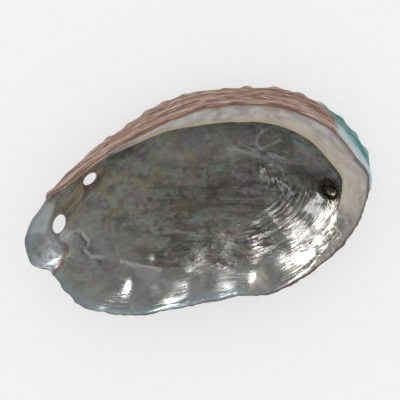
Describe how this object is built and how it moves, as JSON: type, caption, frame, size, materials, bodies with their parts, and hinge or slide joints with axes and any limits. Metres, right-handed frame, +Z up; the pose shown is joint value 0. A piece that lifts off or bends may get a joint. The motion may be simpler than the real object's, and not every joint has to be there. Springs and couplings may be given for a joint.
{
  "type": "abalone shell",
  "caption": "Empty abalone shell lying on its back: a shallow oval bowl lined with nacre, a flat inner ledge, a row of knobs and open holes along one side and a low spire.",
  "frame": {"origin": "middle of the bounding box's bottom, at the level of the worn spot that the shell rests on", "axes": "+X along the shell's length to the end with the spire, +Z up out of the open bowl, +Y to the side with the inner ledge and the row of holes"},
  "size_m": [0.1206, 0.0736, 0.024],
  "materials": {
    "shell": "polished nacre inside, rough red-brown and blue-green outside"
  },
  "bodies": {
    "root": {"abalone_shell": "shell"}
  },
  "joints": []
}
